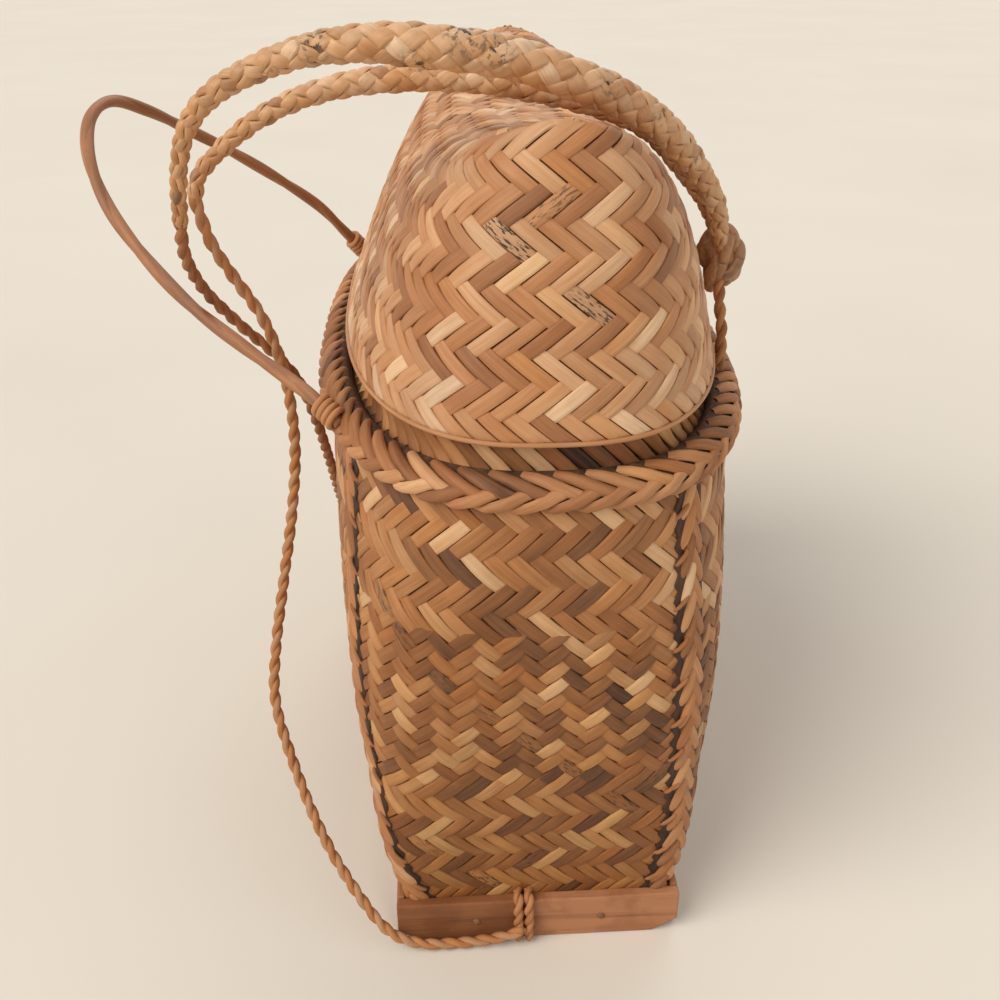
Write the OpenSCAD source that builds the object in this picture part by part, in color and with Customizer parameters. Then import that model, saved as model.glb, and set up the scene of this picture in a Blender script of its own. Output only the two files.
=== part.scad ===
// Lidded backpack basket, plaited from split cane, with a carry loop and two shoulder straps.
// Millimetres. Z is up, the narrow end towards -Y faces the viewer, the carry loop is on the -X side.

/* [Body] */
// Width of the woven wall at the base
base_width = 102; // [80:1:130]
// Length of the woven wall at the base
base_length = 250; // [200:1:300]
// Width at the shoulder, under the braid
shoulder_width = 144; // [120:1:180]
// Length at the shoulder, under the braid
shoulder_length = 288; // [240:1:340]
// Height of the shoulder above the table
shoulder_height = 198; // [160:1:260]
// Squareness of the base outline, where 2 is an ellipse
base_square = 8; // [4:0.5:12]
// Squareness of the shoulder outline
shoulder_square = 2.6; // [2:0.1:4]
// Thickness of the plaited wall
wall = 2.6; // [1.6:0.1:4]
// Thickness of the plaited floor
floor_thickness = 4; // [2:0.5:8]

/* [Lid] */
// Width of the lid at its hem
lid_width = 130; // [110:1:160]
// Length of the lid at its hem
lid_length = 284; // [230:1:330]
// Height of the two horns above the table
horn_height = 302; // [270:1:360]
// Dip of the ridge between the horns
saddle_dip = 16; // [0:1:30]
// How far each end of the lid leans in from hem to horn
end_lean = 20; // [5:1:40]
// How far the ridge leans towards the wearer
ridge_shift = 4; // [-8:1:8]
// Squareness of the outline at the top of the lid
ridge_square = 4; // [2.5:0.5:8]
// Fullness of the arch from hem to ridge
arch_fullness = 3.3; // [2:0.1:5]
// Thickness of the plaited lid
lid_wall = 2.4; // [1.6:0.1:4]
// Clearance between the lid and the neck
lid_fit = 0.4; // [0.3:0.1:1]
// Share of the arch that the neck fills
neck_reach = 0.1; // [0.05:0.01:0.2]

/* [Weave] */
// Floats in one row round the basket
floats_round = 52; // [36:4:60]
// Rows of floats on the body, an odd number
body_rows = 15; // [9:2:17]
// Rows of floats on the lid
lid_rows = 6; // [4:1:8]
// How far the middle of a float stands out
float_rise = 1.5; // [0.3:0.1:2]

/* [Braid and corners] */
// Height of the shoulder braid
braid_height = 11; // [8:0.5:16]
// How far the shoulder braid stands out
braid_depth = 6; // [4:0.5:10]
// Plaits round the shoulder braid
braid_plaits = 70; // [40:2:80]
// Neck that shows between the braid and the lid
neck_show = 8.5; // [6:0.5:24]
// Width of a corner band
band_width = 12; // [6:0.5:16]
// Thickness of a corner band
band_thickness = 3; // [2:0.5:5]
// Stitches on each corner band
stitches = 11; // [6:1:14]
// Section of a stitch
stitch_size = 2; // [1.2:0.1:3]
// Length of a stitch
stitch_length = 7; // [4:0.5:12]

/* [Base frame] */
// Height of the base slats
slat_height = 20; // [14:1:30]
// Thickness of the end slats
end_slat = 4.5; // [4:0.5:10]
// Thickness of the side slats
side_slat = 3; // [3:0.5:8]
// Corner cut at the foot of an end slat, along its length
slat_cut = 10; // [4:1:16]
// Diameter of the pegs
peg_diameter = 3; // [2:0.5:5]
// Clearance of a peg in its hole
peg_fit = 0.1; // [0.05:0.05:0.3]
// How far a peg reaches into the wall
peg_grip = 2; // [1:0.5:2.5]

/* [Cords] */
// Diameter of the thin cords
cord_diameter = 4.4; // [3:0.2:6]
// Diameter of the near strap over the lid
strap_diameter = 11.5; // [10:0.5:18]
// Diameter of the far strap over the lid
far_strap_diameter = 8.5; // [6:0.5:14]
// Share of a strap that narrows towards each end
strap_taper = 0.4; // [0.2:0.05:0.5]
// Diameter of the carry loop
loop_diameter = 4.8; // [3:0.2:7]
// Size of the knot that joins the straps
knot_size = 16; // [10:1:24]

/* [Hidden] */
$fn = 32;

cane = [0.80, 0.62, 0.38];
pale_cane = [0.86, 0.70, 0.47];
brown_cane = [0.66, 0.42, 0.22];
wood = [0.84, 0.68, 0.48];
seam = 0.5;
braid_top = shoulder_height + braid_height;
hem_height = braid_top + neck_show;
neck_inset = lid_wall + lid_fit;
neck_width = lid_width - 2 * (neck_inset + float_rise);
neck_length = lid_length - 2 * (neck_inset + float_rise);
ridge_length = lid_length - 2 * end_lean;
weave_foot = 8;
weave_top = hem_height - 4;
lid_foot = 0.05;
lid_head = 0.8;
lid_ridge = [0.82, 0.9, 0.96];
inner_square = 4;
arc_steps = 20;
front_turns = [47, 56];
side_turns = [47, 38];
band_steps = 16;
band_foot = 2;
stitch_margin = 8;
end_peg_place = 24;
side_peg_place = 80;
peg_height = slat_height / 2;
tie_place = -6;
wrap_diameter = 2.4;
cord_sides = 8;
strap_sides = 10;

// Routes, chosen by eye
near_strap_route = [[69, -43, 243], [66, -48, 252], [62, -54, 263], [53, -62, 276], [40, -75, 290],
    [24, -86, 301], [8, -93, 308], [-10, -96, 314], [-30, -97, 317], [-50, -96, 318],
    [-70, -94, 315], [-91, -91, 306], [-102, -88, 295], [-107, -85, 280], [-109, -81, 266]];
far_strap_route = [[69, -38, 243], [66, -41, 252], [60, -45, 263], [50, -50, 275], [36, -58, 289],
    [15, -64, 298], [-8, -65, 303], [-28, -64, 305], [-50, -62, 304], [-70, -63, 300],
    [-86, -65, 293], [-97, -68, 285], [-104, -70, 278], [-106, -72, 270]];
near_cord_route = [[-106, -72, 272], [-103, -71, 258], [-98, -68, 246], [-91, -64, 231],
    [-87, -61, 216], [-85, -59, 200], [-85, -58, 178], [-88, -60, 154], [-93, -66, 127],
    [-97, -75, 104], [-98, -85, 85], [-92, -97, 65], [-82, -111, 42], [-70, -123, 24],
    [-58, -131, 10], [-46, -133, 4], [-33, -133, 3], [-20, -133, 4], [-11, -133, 6], [-6, -133, 9]];
far_cord_route = [[-109, -81, 268], [-111, -73, 254], [-109, -61, 239], [-101, -50, 223],
    [-91, -43, 209], [-84, -38, 196], [-80, -31, 178], [-78, -16, 154], [-77, 4, 127],
    [-76, 26, 101], [-75, 50, 76], [-73, 75, 52], [-70, 98, 31], [-65, 119, 14],
    [-55, 131, 5], [-41, 134, 3], [-26, 134, 3], [-13, 133, 5], [-6, 133, 9]];
anchor_route = [[69, -42, 238], [68, -49, 228], [68, -56, 219], [67, -61, 211], [66, -64, 206]];
// Shape of the carry loop: out from the side of the shoulder, along it, and up from it
loop_shape = [[3, -96, 7], [11, -90, 13], [20, -82, 17], [36, -71, 25], [54, -58, 35],
    [70, -45, 48], [83, -32, 62], [91, -17, 76], [93, 0, 86], [89, 17, 89], [80, 32, 83],
    [68, 46, 73], [54, 58, 62], [39, 70, 49], [23, 81, 34], [12, 90, 19], [3, 96, 7]];
loop_share = 2 / 3;
loop_span = loop_share * shoulder_length;
function side_at(width, share) = width / 2 * pow(1 - pow(share, shoulder_square), 1 / shoulder_square);
loop_side = max(side_at(shoulder_width, loop_share),
    side_at(neck_width, min(0.95, loop_span / neck_length)) + braid_depth + loop_diameter / 4);
loop_tip = -loop_shape[0][1];
loop_route = [for (p = loop_shape)
    [-loop_side - p[0], p[1] / loop_tip * loop_span / 2, shoulder_height + p[2]]];

// Outlines and lofts
function unit(v) = v / norm(v);
function power(x, p) = pow(max(abs(x), 1e-9), p);
function outline(a, b, n, turn) =
    [a * cos(turn), b * sin(turn)] * power(power(cos(turn), n) + power(sin(turn), n), -1 / n);
function arc_table(a, b, n) =
    let (pts = [for (k = [0:arc_steps]) outline(a, b, n, 90 * k / arc_steps)],
        sums = [for (k = 0, len = 0; k <= arc_steps;
            len = len + (k < arc_steps ? norm(pts[k + 1] - pts[k]) : 0), k = k + 1) len])
    [for (k = [0:arc_steps]) [sums[k] / sums[arc_steps], 90 * k / arc_steps]];
function turn_at(table, share) =
    let (q = share * 4, side = floor(q), part = q - side)
    90 * side + (side % 2 == 0 ? lookup(part, table) : 90 - lookup(1 - part, table));
// A ring of points at even steps round an outline
function even_ring(a, b, n, count, shift) =
    let (table = arc_table(a, b, n))
    [for (k = [0:count - 1]) outline(a, b, n, turn_at(table, (k + shift) / count))];

function rise(z, p) =
    1 - pow(1 - max(0, min(1, (z - slat_height) / (shoulder_height - slat_height))), p);
function tuck(z) = max(0, min(1, (z - shoulder_height) / braid_height));
function blend(from, to, share) = from + (to - from) * share;
function body_half_width(z) =
    blend(blend(base_width, shoulder_width, rise(z, 3)), neck_width, tuck(z)) / 2;
function body_half_length(z) =
    blend(blend(base_length, shoulder_length, rise(z, 1.6)), neck_length, tuck(z)) / 2;
function body_square(z) = blend(base_square, shoulder_square, rise(z, 1.5));
function body_ring(z, inset, shift) =
    let (n = inset > 0 ? min(inner_square, body_square(z)) : body_square(z))
    [for (p = even_ring(body_half_width(z) - inset, body_half_length(z) - inset, n,
        floats_round, shift)) [p.x, p.y, z]];
function corner_at(z, turns) = outline(body_half_width(z), body_half_length(z), body_square(z),
    blend(turns[0], turns[1], rise(z, 1.5)));

function ridge(y) = horn_height - saddle_dip * (1 - pow(2 * y / ridge_length, 2));
function arch(share) = 1 - pow(1 - share, arch_fullness);
function lid_ring(share, inset, shift) =
    let (lift = arch(share), a = (lid_width / 2 - inset) * (1 - share),
        b = lid_length / 2 - inset - end_lean * lift, n = blend(shoulder_square, ridge_square, share))
    [for (p = even_ring(a, b, n, floats_round, shift))
        [p.x + ridge_shift * lift, p.y, hem_height + lift * (ridge(p.y) - inset - hem_height)]];
// Shares of the arch at even steps along its length
arch_table =
    let (pts = [for (k = [0:arc_steps]) [lid_width / 2 * (1 - k / arc_steps),
            arch(k / arc_steps) * (horn_height - hem_height)]],
        sums = [for (k = 0, len = 0; k <= arc_steps;
            len = len + (k < arc_steps ? norm(pts[k + 1] - pts[k]) : 0), k = k + 1) len])
    [for (k = [0:arc_steps]) [sums[k] / sums[arc_steps], k / arc_steps]];

// Twill of floats, three cells long: each row leans one way and the next row the other.
// Floats have four corners and a joint on each long side, at levels 3r-1 and 3r.
function level_of(step) = 3 * floor(step / 2) - (step % 2 == 0 ? 1 : 0);
function half_turn(level) = (abs(level) % 2) / 2;
function level_vertex(level, place, count) =
    let (step = level % 3 == 0 ? 2 * level / 3 + 1 : 2 * (level + 1) / 3,
        k = round(place - half_turn(level)))
    step * count + ((k % count) + count) % count;
right_float = [[-1, 2], [-0.5, 3], [0, 2], [1, 0], [0.5, -1], [0, 0]];
left_float = [[0, 0], [-0.5, -1], [-1, 0], [0, 2], [0.5, 3], [1, 2]];
function float_corners(row, k, count) =
    [for (c = row % 2 == 0 ? right_float : left_float)
        level_vertex(3 * row + c[1], k + (row % 2) / 2 + c[0], count)];
function float_crown(points, ids, out) =
    let (c = [for (i = ids) points[i]], mid = (c[2] + c[5]) / 2)
    mid + out * unit(cross(c[4] - c[1], c[3] - c[0]));
function fan(top, ids) = [for (i = [0:len(ids) - 1]) [top, ids[i], ids[(i + 1) % len(ids)]]];
function band_faces(low, high, count) =
    [for (k = [0:count - 1]) let (n = (k + 1) % count)
        each [[low + k, high + k, high + n], [low + k, high + n, low + n]]];
function foot_faces(ring, zigzag, count) =
    [for (k = [0:count - 1]) let (n = (k + 1) % count)
        each [[ring + k, zigzag + k, ring + n], [ring + k, zigzag + count + k, zigzag + k],
            [ring + n, zigzag + k, zigzag + count + n]]];
function head_faces(ring, zigzag, late, count) =
    [for (k = [0:count - 1]) let (n = (k + 1) % count, m = late ? n : k)
        each [[ring + k, ring + n, zigzag + count + m], [ring + k, zigzag + count + m, zigzag + k],
            [ring + n, zigzag + n, zigzag + count + m]]];
// The saddle-shaped end of a stack, closed by strips from one long side to the other
function saddle_faces(ring, shift, count) =
    let (q = count / 4, odd = 2 * shift)
    [for (j = [0:count / 2 - 1])
        let (a = (q + j) % count, b = (q + j + 1) % count,
            c = (q - j - 1 - odd + count) % count, d = (q - j - odd + count) % count)
        each concat(b != c ? [[ring + b, ring + a, ring + c]] : [],
            a != d && d != b ? [[ring + c, ring + a, ring + d]] : [])];
// The flat end of a stack, closed by a fan round its middle
function flat_faces(tip, ring, count) =
    [for (k = [0:count - 1]) [tip, ring + (k + 1) % count, ring + k]];
function flip(faces) = [for (f = faces) [for (i = [len(f) - 1:-1:0]) f[i]]];

// A closed plaited wall. The weave runs between two ring stacks: foot starts under it, head over it.
// Flat ends have a middle point each in tips, and saddle-shaped ends have none.
module woven_shell(levels, rows, foot, head, tips) {
    n = floats_round;
    grid = [for (l = levels) each l];
    shift = half_turn(3 * rows - 1);
    floats = [for (r = [0:rows - 1], k = [0:n - 1]) float_corners(r, k, n)];
    crowns = [for (f = floats) float_crown(grid, f, float_rise)];
    crown = len(grid);
    foot_ring = crown + len(crowns);
    head_ring = foot_ring + len(foot) * n;
    foot_end = head_ring - n;
    head_end = head_ring + (len(head) - 1) * n;
    faces = concat(
        [for (f = [0:len(floats) - 1]) each fan(crown + f, floats[f])],
        foot_faces(foot_ring, 0, n),
        head_faces(head_ring, 2 * rows * n, shift > 0, n),
        len(foot) < 2 ? [] : [for (r = [0:len(foot) - 2])
            each band_faces(foot_ring + (r + 1) * n, foot_ring + r * n, n)],
        len(head) < 2 ? [] : [for (r = [0:len(head) - 2])
            each band_faces(head_ring + r * n, head_ring + (r + 1) * n, n)]);
    tip = head_end + n;
    ends = len(tips) > 0
        ? concat(flip(flat_faces(tip, foot_end, n)), flat_faces(tip + 1, head_end, n))
        : concat(flip(saddle_faces(foot_end, 0, n)), saddle_faces(head_end, shift, n));
    polyhedron(concat(grid, crowns, [for (r = foot) each r], [for (r = head) each r], tips),
        concat(faces, ends), convexity = 10);
}

module woven_body() {
    levels = [for (s = [0:2 * body_rows + 1]) let (l = level_of(s))
        body_ring(blend(weave_foot, weave_top, l / (3 * body_rows)), 0, half_turn(l))];
    shift = half_turn(3 * body_rows - 1);
    neck = [for (s = [0, 0.5, 1]) lid_ring(neck_reach * s, neck_inset, shift)];
    mouth = [for (s = [1, 0]) lid_ring(neck_reach * s, neck_inset + wall, shift)];
    inside = [for (z = concat([braid_top], [1, 0.8, 0.5, 0.25] * shoulder_height,
        [slat_height, floor_thickness])) body_ring(z, wall, shift)];
    color(cane) woven_shell(levels, body_rows, [body_ring(0, 0, 0)],
        concat(neck, mouth, inside), [[0, 0, 0], [0, 0, floor_thickness]]);
}

module woven_lid() {
    levels = [for (s = [0:2 * lid_rows + 1]) let (l = level_of(s))
        lid_ring(lookup(blend(lid_foot, lid_head, l / (3 * lid_rows)), arch_table), 0, half_turn(l))];
    inside = [for (s = [0, neck_reach / 2, neck_reach, 0.25, 0.45, 0.62]) lid_ring(s, lid_wall, 0)];
    color(cane) woven_shell(levels, lid_rows, concat([lid_ring(0, 0, 0)], inside),
        [for (s = lid_ridge) lid_ring(s, 0, half_turn(3 * lid_rows - 1))], []);
}

// Chevron braid that covers the step from the shoulder to the neck
module shoulder_braid() {
    n = braid_plaits;
    function ring(half_width, half_length, z) =
        [for (p = even_ring(half_width, half_length, shoulder_square, n, 0)) [p.x, p.y, z]];
    function around(width, length, out, z) = ring(width / 2 + out, length / 2 + out, z);
    rings = [around(shoulder_width, shoulder_length, 0.5, shoulder_height - 0.5),
        around(shoulder_width, shoulder_length, braid_depth / 2, shoulder_height + braid_height * 0.45),
        around(neck_width, neck_length, braid_depth, braid_top),
        around(neck_width, neck_length, -seam, braid_top - 0.5),
        around(shoulder_width, shoulder_length, -seam, shoulder_height)];
    base = [for (r = rings) each r];
    low_row = [for (k = [0:n - 1])
        [(k + 1) % n, n + k, n + (k + 1) % n, (k + 2) % n]];
    high_row = [for (k = [0:n - 1])
        [n + k, 2 * n + (k + 1) % n, 2 * n + (k + 2) % n, n + (k + 1) % n]];
    plaits = concat(low_row, high_row);
    crowns = [for (f = plaits) let (c = [for (i = f) base[i]])
        (c[0] + c[1] + c[2] + c[3]) / 4 + float_rise * unit(cross(c[3] - c[1], c[2] - c[0]))];
    color(pale_cane) polyhedron(concat(base, crowns), concat(
        [for (f = [0:len(plaits) - 1]) each fan(5 * n + f, plaits[f])],
        band_faces(2 * n, 3 * n, n),
        band_faces(3 * n, 4 * n, n),
        band_faces(4 * n, 0, n)), convexity = 10);
}

// Flat band up one corner of the body, from the slats to the braid
function corner_out(z, turns) =
    let (a = body_half_width(z), b = body_half_length(z), n = body_square(z), p = corner_at(z, turns))
    unit([pow(p.x / a, n - 1) / a, pow(p.y / b, n - 1) / b]);
function band_section(z, turns) =
    let (p = corner_at(z, turns), out = corner_out(z, turns), along = [-out.y, out.x] * band_width / 2)
    [for (c = [p - along - out * seam, p + along - out * seam,
        p + along + out * (band_thickness - seam), p - along + out * (band_thickness - seam)])
        [c.x, c.y, z]];
module corner_band(turns) {
    levels = [for (k = [0:band_steps]) blend(band_foot, shoulder_height + seam, k / band_steps)];
    polyhedron([for (z = levels) each band_section(z, turns)], concat(
        [[0, 1, 2, 3], [for (i = [3:-1:0]) 4 * band_steps + i]],
        [for (s = [0:band_steps - 1], i = [0:3]) let (a = 4 * s + i, b = 4 * s + (i + 1) % 4)
            each [[b, a, a + 4], [b, a + 4, b + 4]]]), convexity = 4);
}
module at_corner(side, end) {
    mirror([side < 0 ? 1 : 0, 0, 0]) mirror([0, end < 0 ? 1 : 0, 0]) children();
}
module near_left_band() { color(pale_cane) at_corner(-1, -1) corner_band(side_turns); }
module near_right_band() { color(pale_cane) at_corner(1, -1) corner_band(front_turns); }
module far_left_band() { color(pale_cane) at_corner(-1, 1) corner_band(front_turns); }
module far_right_band() { color(pale_cane) at_corner(1, 1) corner_band(side_turns); }

module corner_stitches() {
    first = slat_height + stitch_margin;
    last = shoulder_height - stitch_margin;
    for (side = [-1, 1], end = [-1, 1], k = [0:stitches - 1]) {
        z = blend(first, last, k / (stitches - 1));
        turns = side == end ? side_turns : front_turns;
        out = corner_out(z, turns);
        p = corner_at(z, turns) + out * (band_thickness - seam);
        color(brown_cane) at_corner(side, end) translate([p.x, p.y, z])
            rotate([0, 0, atan2(out.y, out.x)]) translate([-seam, band_width / 2 - seam, 0])
                rotate([-30, 0, 25]) cube([stitch_size, stitch_length, stitch_size], center = true);
    }
}

// Base frame
module slat_hole(depth) {
    rotate([90, 0, 0]) cylinder(d = peg_diameter + 2 * peg_fit, h = 3 * depth, center = true);
}
module end_slat_board() {
    half = base_width / 2 + side_slat;
    rise = slat_cut * 0.6;
    difference() {
        translate([0, -base_length / 2, 0]) rotate([90, 0, 0]) linear_extrude(end_slat)
            polygon([[half - slat_cut, 0], [half, rise], [half, slat_height], [-half, slat_height],
                [-half, rise], [slat_cut - half, 0]]);
        for (x = [-1, 1] * end_peg_place)
            translate([x, -base_length / 2, peg_height]) slat_hole(end_slat);
    }
}
module side_slat_board() {
    difference() {
        translate([base_width / 2, -base_length / 2, 0]) cube([side_slat, base_length, slat_height]);
        for (y = [-1, 0, 1] * side_peg_place)
            translate([base_width / 2, y, peg_height]) rotate([0, 0, 90]) slat_hole(side_slat);
    }
}
module near_slat() { color(wood) end_slat_board(); }
module far_slat() { color(wood) mirror([0, 1, 0]) end_slat_board(); }
module right_slat() { color(wood) side_slat_board(); }
module left_slat() { color(wood) mirror([1, 0, 0]) side_slat_board(); }
module peg(length) {
    rotate([90, 0, 0]) cylinder(d = peg_diameter, h = length + peg_grip + 0.5);
}
module base_pegs() {
    color(brown_cane) for (end = [0, 180], x = [-1, 1] * end_peg_place)
        rotate([0, 0, end]) translate([x, peg_grip - base_length / 2, peg_height]) peg(end_slat);
    color(brown_cane) for (side = [90, -90], y = [-1, 0, 1] * side_peg_place)
        rotate([0, 0, side]) translate([y, peg_grip - base_width / 2, peg_height]) peg(side_slat);
}

// Cords: a smooth curve through the route's points, then a tube along it
function curve_point(p, i, t) =
    let (a = p[max(i - 1, 0)], b = p[i], c = p[i + 1], d = p[min(i + 2, len(p) - 1)])
    0.5 * (2 * b + (c - a) * t + (2 * a - 5 * b + 4 * c - d) * t * t
        + (3 * b - a - 3 * c + d) * t * t * t);
function curve(p, steps) =
    [for (i = [0:len(p) - 2], s = [0:steps - 1]) curve_point(p, i, s / steps), p[len(p) - 1]];
function heading(c, i) = unit(c[min(i + 1, len(c) - 1)] - c[max(i - 1, 0)]);
function across(v, along) = unit(v - along * (v * along));
function frames(c) =
    [for (i = 0, v = across([0.3, 1, 0.2], heading(c, 0)); i < len(c);
        i = i + 1, v = i < len(c) ? across(v, heading(c, i)) : v) v];
module tube(c, radii, sides) {
    side = frames(c);
    points = [for (i = [0:len(c) - 1], k = [0:sides - 1])
        let (up = cross(heading(c, i), side[i]), turn = 360 * k / sides)
        c[i] + radii[i] * (cos(turn) * side[i] + sin(turn) * up)];
    last = (len(c) - 1) * sides;
    polyhedron(points, concat(
        [[for (k = [0:sides - 1]) k], [for (k = [sides - 1:-1:0]) last + k]],
        [for (i = [0:len(c) - 2], k = [0:sides - 1])
            let (a = i * sides + k, b = i * sides + (k + 1) % sides)
            each [[b, a, a + sides], [b, a + sides, b + sides]]]), convexity = 10);
}
module plain_cord(route, diameter, steps) {
    c = curve(route, steps);
    tube(c, [for (p = c) diameter / 2], cord_sides);
}
// A strap narrows towards both ends, more at its cord
module strap(route, diameter) {
    c = curve(route, 2);
    last = len(c) - 1;
    swell = [for (i = [0:last]) min(1, i / last / strap_taper, pow((last - i) / last / strap_taper, 2))];
    tube(c, [for (s = swell) blend(cord_diameter * 0.6, diameter / 2, s)], strap_sides);
}

module carry_loop() { color(brown_cane) plain_cord(loop_route, loop_diameter, 2); }
module near_strap() { color(pale_cane) strap(near_strap_route, strap_diameter); }
module far_strap() { color(pale_cane) strap(far_strap_route, far_strap_diameter); }
module near_strap_cord() { color(brown_cane) plain_cord(near_cord_route, cord_diameter, 2); }
module far_strap_cord() { color(brown_cane) plain_cord(far_cord_route, cord_diameter, 2); }
module anchor_cord() { color(brown_cane) plain_cord(anchor_route, cord_diameter, 2); }

// Rings of cord side by side, with their axis from one point to another
module wrapping(from, to, inner, turns) {
    dir = to - from;
    translate((from + to) / 2) rotate([0, acos(dir.z / norm(dir)), atan2(dir.y, dir.x)])
        for (k = [0:turns - 1])
            translate([0, 0, (k - (turns - 1) / 2) * wrap_diameter * 0.9])
                rotate_extrude() translate([inner + wrap_diameter * 0.4, 0]) circle(d = wrap_diameter);
}
module near_loop_lashing() {
    color(pale_cane) wrapping(loop_route[0], loop_route[1], loop_diameter / 2, 3);
}
module far_loop_lashing() {
    color(pale_cane) wrapping(loop_route[len(loop_route) - 1], loop_route[len(loop_route) - 2],
        loop_diameter / 2, 3);
}
module strap_knot() {
    place = (near_strap_route[0] + far_strap_route[0]) / 2 - [0, 0, 2];
    color(pale_cane) translate(place) {
        for (tilt = [[70, 0, 20], [-60, 20, 40], [10, 70, 0]])
            rotate(tilt) rotate_extrude() translate([knot_size * 0.3, 0]) circle(d = knot_size * 0.4);
        sphere(d = knot_size * 0.6);
    }
}

// Tie of the strap cord round an end slat: up its face, over its top and into the weave
module base_tie() {
    face = -base_length / 2 - end_slat;
    r = cord_diameter / 2;
    route = [[0, face - r * 0.9, r], [0, face - r * 0.9, slat_height * 0.3],
        [0, face - r * 0.9, slat_height * 0.8], [0, face - r * 0.2, slat_height + r * 0.7],
        [0, face + end_slat * 0.5, slat_height + r * 0.95],
        [0, face + end_slat + wall * 0.4, slat_height + r * 0.95]];
    for (x = [-1, 1] * r * 0.9)
        translate([tie_place + x, 0, 0]) plain_cord(route, cord_diameter * 0.9, 2);
}
module near_base_tie() { color(brown_cane) base_tie(); }
module far_base_tie() { color(brown_cane) mirror([0, 1, 0]) base_tie(); }

woven_body();
woven_lid();
shoulder_braid();
near_left_band();
near_right_band();
far_left_band();
far_right_band();
corner_stitches();
near_slat();
far_slat();
left_slat();
right_slat();
base_pegs();
carry_loop();
near_loop_lashing();
far_loop_lashing();
near_strap();
far_strap();
strap_knot();
anchor_cord();
near_strap_cord();
far_strap_cord();
near_base_tie();
far_base_tie();
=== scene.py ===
import math

import bpy
import numpy as np
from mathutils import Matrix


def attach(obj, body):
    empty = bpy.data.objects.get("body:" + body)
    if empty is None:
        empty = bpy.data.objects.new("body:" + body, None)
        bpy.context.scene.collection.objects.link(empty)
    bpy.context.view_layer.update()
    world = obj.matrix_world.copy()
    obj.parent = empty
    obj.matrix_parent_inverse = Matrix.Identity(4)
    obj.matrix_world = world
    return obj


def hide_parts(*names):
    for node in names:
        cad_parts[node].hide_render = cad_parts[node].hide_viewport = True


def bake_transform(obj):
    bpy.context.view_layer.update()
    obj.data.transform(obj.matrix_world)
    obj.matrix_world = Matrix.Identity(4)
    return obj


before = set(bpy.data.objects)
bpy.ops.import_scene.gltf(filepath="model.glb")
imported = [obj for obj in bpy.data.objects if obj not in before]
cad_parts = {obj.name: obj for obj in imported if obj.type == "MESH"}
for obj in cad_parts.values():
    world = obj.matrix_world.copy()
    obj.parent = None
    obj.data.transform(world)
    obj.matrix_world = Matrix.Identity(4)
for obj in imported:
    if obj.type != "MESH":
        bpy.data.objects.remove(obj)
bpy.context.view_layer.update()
scene = bpy.context.scene
scene.view_settings.view_transform = "Standard"
rng = np.random.default_rng(11)
MM = 0.001
TURN = 2 * math.pi

# Sizes of the part, in millimetres
BASE = (102.0, 250.0)
SHOULDER = (144.0, 288.0)
NECK = (121.4, 275.4)
LID = (130.0, 284.0)
SLAT_TOP, SHOULDER_Z, BRAID_TOP, HEM_Z, HORN_Z = 20.0, 198.0, 209.0, 217.5, 302.0
SADDLE_DIP, RIDGE, END_LEAN, RIDGE_SHIFT, ARCH = 16.0, 244.0, 20.0, 4.0, 3.3
CORD_D, NEAR_STRAP_D, FAR_STRAP_D, LOOP_D = 4.4, 11.5, 8.5, 4.8
END_SLAT, SIDE_SLAT = 4.5, 3.0

# Routes of the cords, the same points as in the part
NEAR_STRAP = [
    (69, -43, 243), (66, -48, 252), (62, -54, 263), (53, -62, 276), (40, -75, 290), (24, -86, 301),
    (8, -93, 308), (-10, -96, 314), (-30, -97, 317), (-50, -96, 318), (-70, -94, 315),
    (-91, -91, 306), (-102, -88, 295), (-107, -85, 280), (-109, -81, 266),
]
FAR_STRAP = [
    (69, -38, 243), (66, -41, 252), (60, -45, 263), (50, -50, 275), (36, -58, 289), (15, -64, 298),
    (-8, -65, 303), (-28, -64, 305), (-50, -62, 304), (-70, -63, 300), (-86, -65, 293),
    (-97, -68, 285), (-104, -70, 278), (-106, -72, 270),
]
NEAR_CORD = [
    (-106, -72, 272), (-103, -71, 258), (-98, -68, 246), (-91, -64, 231), (-87, -61, 216),
    (-85, -59, 200), (-85, -58, 178), (-88, -60, 154), (-93, -66, 127), (-97, -75, 104),
    (-98, -85, 85), (-92, -97, 65), (-82, -111, 42), (-70, -123, 24), (-58, -131, 10),
    (-46, -133, 4), (-33, -133, 3), (-20, -133, 4), (-11, -133, 6), (-6, -133, 9),
]
FAR_CORD = [
    (-109, -81, 268), (-111, -73, 254), (-109, -61, 239), (-101, -50, 223), (-91, -43, 209),
    (-84, -38, 196), (-80, -31, 178), (-78, -16, 154), (-77, 4, 127), (-76, 26, 101), (-75, 50, 76),
    (-73, 75, 52), (-70, 98, 31), (-65, 119, 14), (-55, 131, 5), (-41, 134, 3), (-26, 134, 3),
    (-13, 133, 5), (-6, 133, 9),
]
ANCHOR = [
    (69, -42, 238), (68, -49, 228), (68, -56, 219), (67, -61, 211), (66, -64, 206),
]
LOOP = [
    (-64.06, -96, 205), (-72.06, -90, 211), (-81.06, -82, 215), (-97.06, -71, 223),
    (-115.06, -58, 233), (-131.06, -45, 246), (-144.06, -32, 260), (-152.06, -17, 274),
    (-154.06, 0, 284), (-150.06, 17, 287), (-141.06, 32, 281), (-129.06, 46, 271),
    (-115.06, 58, 260), (-100.06, 70, 247), (-84.06, 81, 232), (-73.06, 90, 217), (-64.06, 96, 205),
]
KNOT = (69.0, -40.5, 241.0)


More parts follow.
